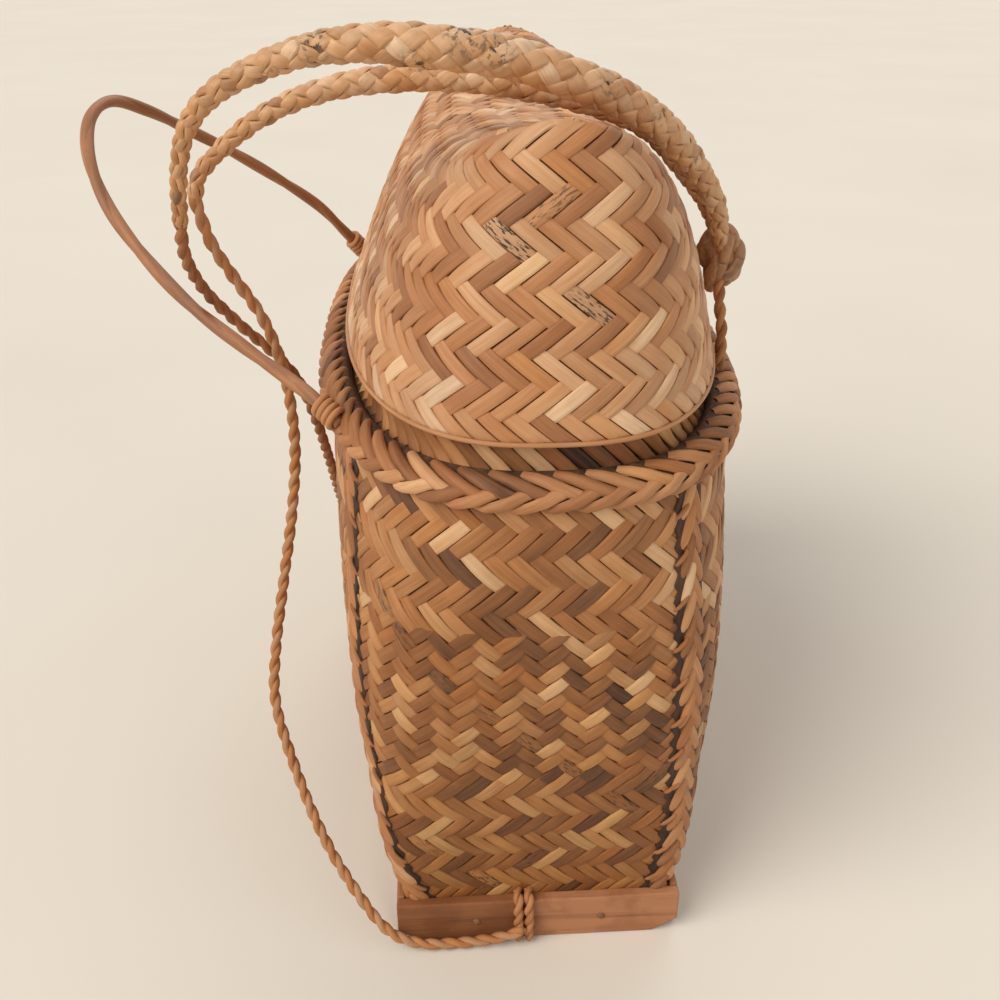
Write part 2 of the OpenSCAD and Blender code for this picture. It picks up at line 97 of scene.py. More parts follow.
# Camera, at the photograph's angle
camera = bpy.data.objects.new("camera", bpy.data.cameras.new("camera"))
scene.collection.objects.link(camera)
camera.data.sensor_width = 36
camera.data.lens = 39.0
camera.location = (-0.0325, -0.4147, 0.3513)
camera.rotation_euler = (math.radians(90 - 28.85), 0, math.radians(-3.52))
camera.data.clip_start = 0.01
scene.camera = camera


# Materials
WHITE, BLACK = (1, 1, 1), (0, 0, 0)


def tree_of(name):
    material = bpy.data.materials.new(name)
    material.use_nodes = True
    return material, material.node_tree, material.node_tree.nodes["Principled BSDF"]


def add(tree, kind, values=None, **settings):
    n = tree.nodes.new(kind)
    for key, value in settings.items():
        setattr(n, key, value)
    for key, value in (values or {}).items():
        n.inputs[key].default_value = value
    return n


def ramp(tree, source, stops):
    n = add(tree, "ShaderNodeValToRGB")
    while len(n.color_ramp.elements) < len(stops):
        n.color_ramp.elements.new(0.5)
    for e, (place, colour) in zip(n.color_ramp.elements, stops):
        e.position = place
        e.color = (*colour, 1)
    tree.links.new(source, n.inputs["Fac"])
    return n.outputs["Color"]


def feed(tree, socket, value):
    """Gives a socket a constant, or links it to another node's output."""
    if isinstance(value, (int, float)):
        socket.default_value = value
    elif isinstance(value, tuple):
        socket.default_value = (*value, 1)
    else:
        tree.links.new(value, socket)


def mix(tree, a, b, factor, mode="MIX"):
    n = add(tree, "ShaderNodeMix", data_type="RGBA", blend_type=mode)
    for place, value in ((0, factor), (6, a), (7, b)):
        feed(tree, n.inputs[place], value)
    return n.outputs[2]


def math_node(tree, operation, a, b, clamp=False):
    n = add(tree, "ShaderNodeMath", operation=operation, use_clamp=clamp)
    feed(tree, n.inputs[0], a)
    feed(tree, n.inputs[1], b)
    return n.outputs[0]


def axis_of(tree, vector, axis):
    n = add(tree, "ShaderNodeSeparateXYZ")
    tree.links.new(vector, n.inputs[0])
    return n.outputs[axis]


def position(tree):
    return add(tree, "ShaderNodeNewGeometry").outputs["Position"]


def sway(tree, value, source, amount):
    """A value moved up and down by a noise."""
    away = math_node(tree, "MULTIPLY", math_node(tree, "SUBTRACT", source, 0.5), amount)
    return math_node(tree, "ADD", value, away)


def noise(tree, vector, scale, detail, roughness=0.55):
    n = add(tree, "ShaderNodeTexNoise", {"Scale": scale, "Detail": detail, "Roughness": roughness})
    tree.links.new(vector, n.inputs["Vector"])
    return n.outputs["Fac"]


def stretched(tree, vector, factors):
    n = add(tree, "ShaderNodeVectorMath", {1: factors}, operation="MULTIPLY")
    tree.links.new(vector, n.inputs[0])
    return n.outputs[0]


def bump(tree, shader, height, strength, distance):
    n = add(tree, "ShaderNodeBump", {"Strength": strength, "Distance": distance})
    tree.links.new(height, n.inputs["Height"])
    tree.links.new(n.outputs["Normal"], shader.inputs["Normal"])


def cane_material(name, colours, roughness, specular, speckle, dash=(0.2, 0.9, 5.0), painted_base_shade=False):
    """Split cane with fibres along each strip and specks on some. With the last option set, the cane gets
    painted shade that darkens it near the base.
    """
    material, tree, shader = tree_of(name)
    tone, speck, strip = (add(tree, "ShaderNodeAttribute", attribute_name=key).outputs[field]
                          for key, field in (("tone", "Fac"), ("speck", "Fac"), ("strip", "Vector")))
    place = position(tree)
    fibres = noise(tree, stretched(tree, strip, (0.035, 1.6, 7.0)), 2.2, 4.0, 0.65)
    streaks = noise(tree, stretched(tree, strip, (0.02, 0.45, 3.0)), 1.6, 2.0)
    blotch = noise(tree, place, 55.0, 3.0)
    shifted = sway(tree, sway(tree, tone, streaks, 0.34), blotch, 0.3)
    colour = ramp(tree, shifted, list(zip(TONES, colours)))
    lines = ramp(tree, fibres, [(0.28, (0.52, 0.47, 0.42)), (0.46, WHITE)])
    colour = mix(tree, colour, lines, 0.55, "MULTIPLY")
    dice = add(tree, "ShaderNodeTexWhiteNoise", noise_dimensions="1D")
    tree.links.new(axis_of(tree, strip, 2), dice.inputs["W"])
    tint = ramp(tree, dice.outputs["Value"],
                [(0.0, (1.0, 0.92, 0.74)), (0.3, WHITE), (0.5, WHITE), (1.0, (0.86, 0.92, 1.0))])
    colour = mix(tree, colour, tint, 1.0, "MULTIPLY")
    if painted_base_shade:
        # Painted shade: the colour darkens towards the base, below about 0.18 m.
        level = math_node(tree, "MULTIPLY", axis_of(tree, place, 2), 5.0)
        wear_and_shade = ramp(tree, sway(tree, level, blotch, 0.35), [(0.2, (0.7, 0.61, 0.42)), (0.9, WHITE)])
        colour = mix(tree, colour, wear_and_shade, 1.0, "MULTIPLY")
    spots = noise(tree, stretched(tree, strip, dash), 1.5, 3.0, 0.6)
    spots = ramp(tree, spots, [(0.52, BLACK), (0.58, WHITE)])
    colour = mix(tree, colour, speckle, math_node(tree, "MULTIPLY", spots, speck))
    tree.links.new(colour, shader.inputs["Base Color"])
    rough = add(tree, "ShaderNodeMapRange", {"To Min": roughness - 0.1, "To Max": roughness + 0.16})
    tree.links.new(fibres, rough.inputs["Value"])
    tree.links.new(rough.outputs[0], shader.inputs["Roughness"])
    shader.inputs["Specular IOR Level"].default_value = specular
    bump(tree, shader, fibres, 0.35, 0.0006)
    return material


TONES = (0.0, 0.1, 0.24, 0.42, 0.6, 0.8, 1.0)
STRAP_COLOURS = [
    (0.035, 0.014, 0.008), (0.11, 0.05, 0.026), (0.33, 0.15, 0.067), (0.51, 0.243, 0.103),
    (0.62, 0.33, 0.155), (0.71, 0.42, 0.228), (0.79, 0.545, 0.35),
]
LID_COLOURS = [
    (0.03, 0.011, 0.006), (0.09, 0.036, 0.018), (0.28, 0.112, 0.046), (0.405, 0.166, 0.064),
    (0.54, 0.25, 0.108), (0.675, 0.38, 0.198), (0.81, 0.56, 0.35),
]
# Darker than the lid's colours: partly older cane, partly painted shade for the body's less lit sides.
BODY_COLOURS = [
    (0.022, 0.009, 0.005), (0.06, 0.024, 0.012), (0.165, 0.066, 0.026), (0.29, 0.112, 0.037),
    (0.425, 0.175, 0.06), (0.58, 0.29, 0.122), (0.74, 0.46, 0.25),
]
lid_cane = cane_material("lid_weave", LID_COLOURS, 0.46, 0.4, (0.06, 0.035, 0.024))
# The body's cane gets painted shade near the base.
body_cane = cane_material("body_weave", BODY_COLOURS, 0.48, 0.36, (0.05, 0.028, 0.018), painted_base_shade=True)
braid_cane = cane_material("cane_braid", LID_COLOURS, 0.5, 0.3, (0.10, 0.06, 0.04))
strap_cane = cane_material("strap_plait", STRAP_COLOURS, 0.34, 0.5, (0.035, 0.02, 0.015), (0.3, 0.36, 5.0))
cord_cane = cane_material("cane_cord", LID_COLOURS, 0.55, 0.28, (0.10, 0.055, 0.03))
loop_cane = cane_material("loop_cane", LID_COLOURS, 0.42, 0.42, (0.12, 0.05, 0.025))


def painted_shade_material():
    """Painted shade: the strips under the floats, coloured as dark as they look in shade."""
    material, tree, shader = tree_of("cane_under_shade")
    place = position(tree)
    grain = noise(tree, stretched(tree, place, (320.0, 320.0, 900.0)), 1.0, 4.0)
    colour = ramp(tree, grain,
                  [(0.3, (0.035, 0.016, 0.008)), (0.55, (0.10, 0.046, 0.02)), (0.75, (0.2, 0.1, 0.045))])
    tree.links.new(colour, shader.inputs["Base Color"])
    shader.inputs["Roughness"].default_value = 0.8
    bump(tree, shader, grain, 0.4, 0.0005)
    return material


def wood_material(name, along, light, dark, darker_left=False):
    """Planed pale wood, with grain along one axis. The last option makes a board darker on its left half."""
    material, tree, shader = tree_of(name)
    place = position(tree)
    squeeze = tuple(14.0 if k == along else 420.0 for k in range(3))
    broad = tuple(5.0 if k == along else 90.0 for k in range(3))
    grain = noise(tree, stretched(tree, place, squeeze), 1.0, 5.0, 0.65)
    bands = noise(tree, stretched(tree, place, broad), 1.0, 3.0)
    wear = noise(tree, place, 60.0, 3.0)
    value = math_node(tree, "ADD", math_node(tree, "MULTIPLY", grain, 0.55),
                      math_node(tree, "MULTIPLY", bands, 0.45))
    bright = tuple(1.12 * c for c in light)
    colour = ramp(tree, value, [(0.34, dark), (0.5, light), (0.68, bright)])
    wear_and_shade = ramp(tree, wear, [(0.36, (0.62, 0.52, 0.44)), (0.52, WHITE)])
    colour = mix(tree, colour, wear_and_shade, 0.5, "MULTIPLY")
    # The board turns darker towards its left end, at negative x.
    if darker_left:
        level = math_node(tree, "MULTIPLY", axis_of(tree, place, 0), 22.0)
        level = math_node(tree, "ADD", level, wear)
        left_darkening = ramp(tree, level, [(0.2, (0.6, 0.52, 0.42)), (0.65, WHITE)])
        colour = mix(tree, colour, left_darkening, 1.0, "MULTIPLY")
    tree.links.new(colour, shader.inputs["Base Color"])
    shader.inputs["Roughness"].default_value = 0.58
    shader.inputs["Specular IOR Level"].default_value = 0.3
    bump(tree, shader, grain, 0.3, 0.0006)
    return material


# The under-layer's near-black colour is painted shade for the gaps between the strips.
under = painted_shade_material()
slat_wood = wood_material("pale_wood", 0, (0.43, 0.19, 0.09), (0.25, 0.1, 0.042), True)
side_wood = wood_material("pale_wood_side", 1, (0.37, 0.16, 0.07), (0.22, 0.086, 0.034))
peg_wood = wood_material("peg_wood", 2, (0.22, 0.11, 0.05), (0.12, 0.055, 0.025))


# Meshes
def unit(v):
    return v / np.maximum(np.linalg.norm(v, axis=-1, keepdims=True), 1e-9)


def mesh_piece(name, points, faces, material, slot, tone=None, speck=None, strip=None):
    """A mesh from millimetre points. The cane materials read tone, speck and strip."""
    points = np.asarray(points, float).reshape(-1, 3)
    mesh = bpy.data.meshes.new(name)
    mesh.from_pydata((points * MM).tolist(), [], faces)
    layers = (("tone", tone, "FLOAT", "value"), ("speck", speck, "FLOAT", "value"),
              ("strip", strip, "FLOAT_VECTOR", "vector"))
    for key, values, kind, field in layers:
        if values is not None:
            layer = mesh.attributes.new(key, kind, "POINT")
            layer.data.foreach_set(field, np.asarray(values, np.float32).ravel())
    mesh.polygons.foreach_set("use_smooth", [True] * len(mesh.polygons))
    mesh.materials.append(material)
    mesh.update()
    obj = bpy.data.objects.new(name, mesh)
    scene.collection.objects.link(obj)
    return obj


def curve(points, steps):
    """The part's smooth curve through a route's points."""
    p = np.array(points, float)
    out = []
    for i in range(len(p) - 1):
        a, b, c, d = p[max(i - 1, 0)], p[i], p[i + 1], p[min(i + 2, len(p) - 1)]
        for t in np.arange(steps) / steps:
            out.append(0.5 * (2 * b + (c - a) * t + (2 * a - 5 * b + 4 * c - d) * t * t
                              + (3 * b - a - 3 * c + d) * t ** 3))
    out.append(p[-1])
    return np.array(out)


def lengths(c):
    """How far along a line each of its points is."""
    return np.concatenate([[0], np.cumsum(np.linalg.norm(np.diff(c, axis=0), axis=1))])


def read_line(at, run, c):
    """Points of a line, found by how far along it they are."""
    return np.stack([np.interp(at, run, c[:, k]) for k in range(c.shape[1])], 1)


def even(c, step):
    """A line's points at even steps, and how far along they are."""
    s = lengths(c)
    t = np.linspace(0, s[-1], max(3, int(round(s[-1] / step)) + 1))
    return read_line(t, s, c), t


def frames(c):
    """Two directions across a line at each of its points, turning as little as they can."""
    h = unit(np.gradient(c, axis=0))
    v = np.array([0.3, 1.0, 0.2])
    side = []
    for i in range(len(c)):
        v = v - h[i] * (v @ h[i])
        v = v / np.linalg.norm(v)
        side.append(v)
    side = np.array(side)
    return side, np.cross(h, side)


def circle(turn, side, up):
    """Directions across a line, at a turn from side towards up."""
    return np.cos(turn)[..., None] * side + np.sin(turn)[..., None] * up


def grid_faces(rows, columns, wrap=False):
    """Quads of a grid of points, as an array of point numbers."""
    i = np.arange(rows - 1)[:, None]
    j = np.arange(columns if wrap else columns - 1)[None, :]
    k = (j + 1) % columns
    quads = np.stack([i * columns + j, i * columns + k, (i + 1) * columns + k, (i + 1) * columns + j], -1)
    return quads.reshape(-1, 4)


class Skin:
    """A surface given on a grid of points, read at any place between them."""

    def __init__(self, u, v, points, wrap, flip=False):
        self.u, self.v, self.wrap = u, v, wrap
        padded = np.concatenate([points[-3:-1], points, points[1:3]]) if wrap else points
        normal = unit(np.cross(np.gradient(padded, axis=0), np.gradient(padded, axis=1)))
        if wrap:
            normal = normal[2:-2]
        self.points = points
        self.normal = -normal if flip else normal

    def at(self, u, v):
        if self.wrap:
            u = np.mod(u - self.u[0], self.u[-1] - self.u[0]) + self.u[0]

        def cell(x, marks):
            f = np.clip((x - marks[0]) / (marks[-1] - marks[0]) * (len(marks) - 1), 0, len(marks) - 1.001)
            return f.astype(int), (f - f.astype(int))[..., None]

        i, a = cell(u, self.u)
        j, b = cell(v, self.v)

        def read(g):
            low = g[i, j] * (1 - a) + g[i + 1, j] * a
            high = g[i, j + 1] * (1 - a) + g[i + 1, j + 1] * a
            return low * (1 - b) + high * b

        return read(self.points), unit(read(self.normal))


ROUND = [(-0.5, -0.8), (-0.497, -0.22), (-0.45, 0.0), (-0.22, 0.1),
         (0.22, 0.1), (0.45, 0.0), (0.497, -0.22), (0.5, -0.8)]


def strips(name, skin, uv, width, lift, section, tone, speck, material, slot, shape=None):
    """Crowned strips on a skin, with a place, a width and a lift for each step of each."""
    count, steps = uv.shape[:2]
    p, n = skin.at(uv[..., 0], uv[..., 1])
    along = unit(np.gradient(p, axis=1))
    across = unit(np.cross(n, along))
    c, h = np.array(section).T
    points = (p[:, :, None] + across[:, :, None] * (c * width[..., None])[..., None]
              + n[:, :, None] * (lift[..., None] + h)[..., None])
    if shape:
        points = shape(points)
    one = grid_faces(steps, len(c))[:, ::-1]
    faces = (one + (np.arange(count) * steps * len(c))[:, None, None]).reshape(-1, 4).tolist()
    run = np.zeros((count, steps))
    run[:, 1:] = np.cumsum(np.linalg.norm(np.diff(p, axis=1), axis=2), axis=1)
    strip = np.zeros((count, steps, len(c), 3))
    strip[..., 0] = run[..., None] + rng.uniform(0, 400, count)[:, None, None]
    strip[..., 1] = c * width[..., None]
    strip[..., 2] = rng.uniform(0, 30, count)[:, None, None]
    spread = np.ones((count, steps, len(c)))
    return mesh_piece(name, points, faces, material, slot, tone[:, None, None] * spread,
                      speck[:, None, None] * spread, strip)


def strip_tones(count, dark, specked, middle=0.58, spread=0.14, low=0.3):
    """A tone for each strip, and which strips are specked."""
    tone = np.clip(rng.normal(middle, spread, count), low, 0.97)
    tone[rng.random(count) < dark] = 0.2
    return tone, (rng.random(count) < specked).astype(float)


def float_lattice(cells, half_u, half_v, u_range, v_range, columns, phase=0.0):
    """Middles and directions of the floats of a twill. half_u and half_v are a cell's half diagonals."""
    out = []
    rows = np.arange(-400, 400)
    for kind, first in ((1, (cells - 1) / 2), (-1, (cells - 1) / 2 + cells)):
        nudge = 1 if kind < 0 and cells % 2 == 0 else 0
        for q in range(-120, 121):
            d = first + 2 * cells * q
            if columns:
                u, v = np.full(len(rows), d * half_u), (2 * rows + d + nudge) * half_v
            else:
                u, v = (2 * rows + d) * half_u, np.full(len(rows), -d * half_v)
            v = v + phase
            keep = (u >= u_range[0]) & (u < u_range[1]) & (v >= v_range[0]) & (v < v_range[1])
            out += [(x, y, kind) for x, y in zip(u[keep], v[keep])]
    return np.array(out)


def weave(name, skin, floats, half_u, half_v, cells, count, tones, material, height, section, steps, slot,
          gap=0.96, shape=None, accents=(), hem_fade=0.0):
    """Strips for a twill's floats, each a wave that dips under its neighbours at both ends.

    hem_fade makes floats near the hem paler, and accents set the tone and specks of single floats.
    """
    reach = cells / 2 + 0.5
    t = np.linspace(-reach, reach, steps)
    kind = floats[:, 2]
    step = np.stack([np.full(len(floats), half_u), kind * half_v], 1)
    middle = floats[:, :2]
    uv = middle[:, None, :] + step[:, None, :] * t[None, :, None]
    a, b = (skin.at(*(middle + d / 2).T)[0] - skin.at(*(middle - d / 2).T)[0]
            for d in (step, step * (1, -1)))
    side = np.linalg.norm(np.cross(a, b), axis=1) / np.maximum(np.linalg.norm(a, axis=1), 1e-6)
    wide = side * rng.uniform(gap - 0.06, gap + 0.02, len(floats))
    width = np.repeat(wide[:, None], steps, 1)
    lift = height * np.cos(math.pi * t / cells)[None, :] + rng.uniform(-0.08, 0.08, len(floats))[:, None]
    diagonal = middle[:, 0] / (2 * half_u) - kind * middle[:, 1] / (2 * half_v)
    index = np.rint(diagonal).astype(int) % count
    tone_table, speck_table = tones
    pick = np.where(kind > 0, index, index + count)
    fade = hem_fade * np.clip(1.4 - middle[:, 1] / 22, 0, 1)
    tone = np.clip(tone_table[pick] + rng.normal(0, 0.07, len(floats)) + fade, 0, 1)
    speck = speck_table[pick] * rng.uniform(0.5, 1, len(floats))
    centre = skin.at(*middle.T)[0]
    for place, level, spots in accents:
        k = np.argmin(np.linalg.norm(centre - place, axis=1))
        tone[k], speck[k] = level, spots
    return strips(name, skin, uv, width, lift, section, tone, speck, material, slot, shape)


# Cords and straps
def tube(c, radius, sides):
    """Points and faces of a tube with closed ends."""
    side, up = frames(c)
    turn = np.linspace(0, TURN, sides, endpoint=False)
    r = np.broadcast_to(np.asarray(radius, float), (len(c),))
    points = c[:, None] + r[:, None, None] * circle(turn, side[:, None], up[:, None])
    faces = grid_faces(len(c), sides, True).tolist()
    faces += [list(range(sides))[::-1], list(range((len(c) - 1) * sides, len(c) * sides))]
    return points.reshape(-1, 3), faces


def many_tubes(name, lines, radius, sides, tones, material, slot, specks=0.0):
    """One mesh of tubes along lines, with a tone for each."""
    points, faces, tone, strip, count = [], [], [], [], 0
    for line, level in zip(lines, tones):
        p, f = tube(line, radius, sides)
        grid = np.zeros((len(line), sides, 3))
        grid[..., 0] = lengths(line)[:, None] + rng.uniform(0, 300)
        grid[..., 1] = np.linspace(0, TURN * np.max(radius), sides, endpoint=False)
        grid[..., 2] = rng.uniform(0, 20)
        points.append(p)
        faces += [[i + count for i in q] for q in f]
        tone.append(np.full(len(p), level))
        strip.append(grid.reshape(-1, 3))
        count += len(p)
    return mesh_piece(name, np.concatenate(points), faces, material, slot, np.concatenate(tone),
                      np.full(count, specks), np.concatenate(strip))


def twisted(name, route, diameter, pitch, tones, material, slot, specks, share, sides=8):
    """A laid cord with a ply for each tone. A ply's radius is a share of the cord's diameter."""
    c, run = even(curve(route, 12), 1.6)
    side, up = frames(c)
    ply, plies = diameter * share, len(tones)
    turns = [TURN * (run / pitch + k / plies) for k in range(plies)]
    lines = [c + (diameter / 2 - ply) * circle(turn, side, up) for turn in turns]
    return many_tubes(name, lines, ply, sides, tones, material, slot, specks), c


def strap_skin(route, diameter, count):
    """The surface of a tapering strap, with count strands round it."""
    raw = curve(route, 12)
    c, run = even(raw, 1.2)
    share = np.interp(run, lengths(raw), np.linspace(0, 1, len(raw)))
    taper, tip = 0.4, CORD_D * 0.6
    swell = np.minimum(1, np.minimum(share / taper, ((1 - share) / taper) ** 2))
    radius = tip + (diameter / 2 - tip) * swell
    side, up = frames(c)
    u = np.linspace(0, count, 97)
    turn = TURN * u / count
    points = c + (radius * 1.08 - 1.15)[:, None] * circle(turn[:, None], side, up)
    return Skin(u, run, points, True), c, radius, run


PUFFED = [(-0.5, -0.7), (-0.47, -0.12), (-0.32, 0.2), (0.0, 0.4), (0.32, 0.2), (0.47, -0.12), (0.5, -0.7)]


def plaited_strap(name, route, diameter, count, node, specks, ties=()):
    """A round plait of pairs of strands, each over one and under one, darker towards its left end, and at
    its right end by the knot with painted shade.

    specks are places on it with a radius; ties, meant for other pieces that go with it, is not used.
    """
    skin, c, radius, run = strap_skin(route, diameter, count)
    half_u, half_v = 0.5, 4.1
    floats = float_lattice(1, half_u, half_v, (0, count), (1.0, run[-1] - 1.0), False)
    tones = strip_tones(2 * count, 0.0, 0.0)
    tones = (np.clip(tones[0] + 0.06, 0.45, 0.8), tones[1])
    obj = weave(name, skin, floats, half_u, half_v, 1, count, tones, strap_cane, 0.6, PUFFED, 9,
                "strap_plait", 1.0)
    # The core under the strands is dark with painted shade.
    core = mesh_piece(name + "_core", *tube(c, np.maximum(radius - 1.25, 1.0), 16), under, "strap_plait")
    mesh = obj.data
    co = np.zeros(len(mesh.vertices) * 3)
    mesh.vertices.foreach_get("co", co)
    co = co.reshape(-1, 3) / MM
    speck = np.zeros(len(co))
    for *place, reach in specks:
        away = np.linalg.norm(co - place, axis=1)
        speck = np.maximum(speck, np.clip(1.25 - away / reach, 0, 1))
    mesh.attributes["speck"].data.foreach_set("value", speck.astype(np.float32))
    tone = np.zeros(len(co), np.float32)
    mesh.attributes["tone"].data.foreach_get("value", tone)
    # Darker towards the left end; at the right end, near the knot, the darkening is painted shade.
    left = np.clip((-70 - co[:, 0]) / 45, 0, 1)
    right = np.clip((262 - co[:, 2]) / 26, 0, 1) * (co[:, 0] > 0)
    tone *= 1 - 0.36 * np.maximum(left, right)
    mesh.attributes["tone"].data.foreach_set("value", tone)
    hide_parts(node)
    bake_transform(obj)
    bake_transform(core)


def thin_cord(name, route, node, tones, share=0.31):
    """A cord of two plies that hangs between two pieces."""
    obj, c = twisted(name, route, CORD_D, 13.0, tones, cord_cane, "cane_cord", 0.0, share)
    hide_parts(node)
    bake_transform(obj)


def strap_knot():
    """Three strands wound round each other where the straps end."""
    t = np.linspace(0, TURN, 141)
    lines = []
    strands = ((2, 3, 5.0, 2.9), (1, 2, 4.4, 3.2), (3, 2, 4.6, 2.4))
    for k, (p, q, big, small) in enumerate(strands):
        r = big + small * np.cos(q * t)
        local = np.stack([0.86 * r * np.cos(p * t), 1.2 * small * np.sin(q * t),
                          1.42 * r * np.sin(p * t)], 1)
        tilt = 0.5 - 1.1 * k
        c, s = math.cos(tilt), math.sin(tilt)
        spin = np.array([[c, -s, 0], [s, c, 0], [0, 0, 1]])
        lines.append(np.array(KNOT) + local @ spin.T)
    # The knot's strands have low tones: painted shade, as it sits on the shaded right side.
    obj = many_tubes("plaited_knot", lines, 2.5, 10, (0.36, 0.28, 0.33), strap_cane, "strap_plait", 0.3)
    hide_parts("strap_knot")
    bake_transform(obj)
    return obj


NEAR_SPECKS = [(-22, -100, 321, 7), (-14, -101, 317, 5), (-36, -101, 312, 5), (-63, -98, 318, 5),
               (-76, -97, 308, 4), (18, -94, 307, 4), (34, -83, 297, 4), (50, -68, 281, 4)]
FAR_SPECKS = [(-36, -66, 309, 3)]
plaited_strap("near_plaited_strap", NEAR_STRAP, NEAR_STRAP_D, 5, "near_strap", NEAR_SPECKS, [strap_knot()])
plaited_strap("far_plaited_strap", FAR_STRAP, FAR_STRAP_D, 4, "far_strap", FAR_SPECKS)
thin_cord("near_twisted_cord", NEAR_CORD, "near_strap_cord", (0.62, 0.52))
thin_cord("far_twisted_cord", FAR_CORD, "far_strap_cord", (0.40, 0.30))
thin_cord("anchor_twisted_cord", ANCHOR, "anchor_cord", (0.5, 0.36), 0.3)

# Carry loop and its lashings
loop = twisted("twisted_carry_loop", LOOP, LOOP_D, 60.0, (0.4, 0.36), loop_cane, "loop_cane", 0.1, 0.41,
               sides=14)[0]
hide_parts("carry_loop")
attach(loop, "basket")


def lashing(name, a, b, node):
    """Turns of thin cane round the stretch of the loop from a to b."""
    inner, wire, turns = LOOP_D * 0.42, 1.15, 4
    a, b = np.array([a, b], float)
    axis = unit(b - a)
    side = unit(np.cross(axis, (0.2, 0.3, 1.0)))
    up = np.cross(axis, side)
    t = np.linspace(-0.5, 0.5, turns * 20 + 1)
    line = ((a + b) / 2 + axis * (t * turns * wire * 1.9)[:, None]
            + (inner + wire) * circle(TURN * turns * t, side, up))
    obj = many_tubes(name, [line], wire, 8, [0.6], cord_cane, "cane_cord")
    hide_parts(node)
    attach(obj, "basket")


lashing("near_loop_wrap", LOOP[0], LOOP[1], "near_loop_lashing")
lashing("far_loop_wrap", LOOP[-1], LOOP[-2], "far_loop_lashing")


# Shape of the body and the lid, the same formulas as in the part but for the foot
RING = 160
# Squareness at the base, at the shoulder and inside, and what the foot and the ridge add
SQUARE, ROUNDED, INSIDE_SQUARE, FOOT_SQUARE, RIDGE_SQUARE = 8, 2.6, 4.0, 16, 1.4
FOOT_HEIGHT = 60
BODY_WALL, LID_WALL = 2.6, 2.4
ALL_ROUND = np.linspace(0, TURN, 2881)


def rise(z, p):
    """The way up from the slats to the shoulder, from 0 to 1, quicker at first for a larger p."""
    return 1 - (1 - np.clip((z - SLAT_TOP) / (SHOULDER_Z - SLAT_TOP), 0, 1)) ** p


def body_sizes(z):
    """Half width, half length and squareness of the body. The foot is squarer than the part's."""
    tuck = np.clip((z - SHOULDER_Z) / (BRAID_TOP - SHOULDER_Z), 0, 1)
    a = BASE[0] + (SHOULDER[0] - BASE[0]) * rise(z, 3)
    b = BASE[1] + (SHOULDER[1] - BASE[1]) * rise(z, 1.6)
    a = a + (NECK[0] - a) * tuck
    b = b + (NECK[1] - b) * tuck
    foot = np.clip(1 - (z - SLAT_TOP) / FOOT_HEIGHT, 0, 1)
    return a / 2, b / 2, SQUARE + (ROUNDED - SQUARE) * rise(z, 1.5) + FOOT_SQUARE * foot * foot


def outline(a, b, n, turn):
    """Points of a rounded rectangle with half sides a and b, squarer for a larger n."""
    c, s = np.cos(turn), np.sin(turn)
    r = (np.maximum(np.abs(c), 1e-9) ** n + np.maximum(np.abs(s), 1e-9) ** n) ** (-1 / n)
    return np.stack([a * c * r, b * s * r], -1)


def even_ring(a, b, n, count):
    """Points at even steps round an outline; the last one closes it."""
    p = outline(a, b, n, ALL_ROUND)
    s = lengths(p)
    return read_line(np.linspace(0, s[-1], count), s, p)


def level_ring(a, b, n, z):
    """A ring of the under-layer at one height."""
    return np.column_stack([even_ring(a, b, n, RING + 1)[:-1], np.full(RING, z)])


# Floats round the body, row heights of body, lid and neck, width of a float on the lid
FLOATS, ROW, LID_ROW, NECK_ROW, PITCH = 104, 10.4, 8.8, 9.6, 7.65
HALF_FLOAT = 0.5


def body_skin(inset, count):
    """The body's surface. u counts floats round it, and v is the height."""
    z = np.linspace(0, 224, 113)
    grid = np.zeros((count, len(z), 3))
    for j, level in enumerate(z):
        a, b, n = body_sizes(min(level, HEM_Z))
        if inset > 0:
            n = min(INSIDE_SQUARE, n)
        grid[:, j, :2] = even_ring(a - inset, b - inset, n, count)
        grid[:, j, 2] = level
    return Skin(np.linspace(0, FLOATS, count), z, grid, True, inset > 0)


def lid_lift(share):
    return 1 - (1 - share) ** ARCH


def lid_ring(share, inset, turns):
    """Points round the lid at a share of its way in from the hem to the ridge."""
    lift = lid_lift(share)
    a, b = (LID[0] / 2 - inset) * (1 - share), LID[1] / 2 - inset - END_LEAN * lift
    p = outline(max(a, 0.01), b, ROUNDED + RIDGE_SQUARE * share, turns)
    ridge = HORN_Z - SADDLE_DIP * (1 - (2 * p[:, 1] / RIDGE) ** 2)
    return np.stack([p[:, 0] + RIDGE_SHIFT * lift, p[:, 1], HEM_Z + lift * (ridge - inset - HEM_Z)], 1)


def lid_even_ring(share, inset, count):
    """Points at even steps round the lid."""
    p = lid_ring(share, inset, ALL_ROUND)
    s = lengths(p[:, :2])
    return read_line(np.linspace(0, s[-1], count + 1)[:-1], s, p)


def closed_rings(rings, saddle=False):
    """A mesh from a stack of rings, closed by fans, or by strips across if its ends are saddles."""
    count = len(rings[0])
    faces = grid_faces(len(rings), count, True).tolist()
    top = (len(rings) - 1) * count
    if saddle:
        for k in range(-count // 4, count // 4):
            strip = [k % count, (k + 1) % count, (count // 2 - k - 1) % count, (count // 2 - k) % count]
            strip = list(dict.fromkeys(strip))
            faces += [strip[::-1], [top + m for m in strip]]
        return np.concatenate(rings), faces
    points = np.concatenate(list(rings) + [[rings[0].mean(0)], [rings[-1].mean(0)]])
    first, last = len(rings) * count, len(rings) * count + 1
    faces += [[first, (k + 1) % count, k] for k in range(count)]
    faces += [[last, top + k, top + (k + 1) % count] for k in range(count)]
    return points, faces


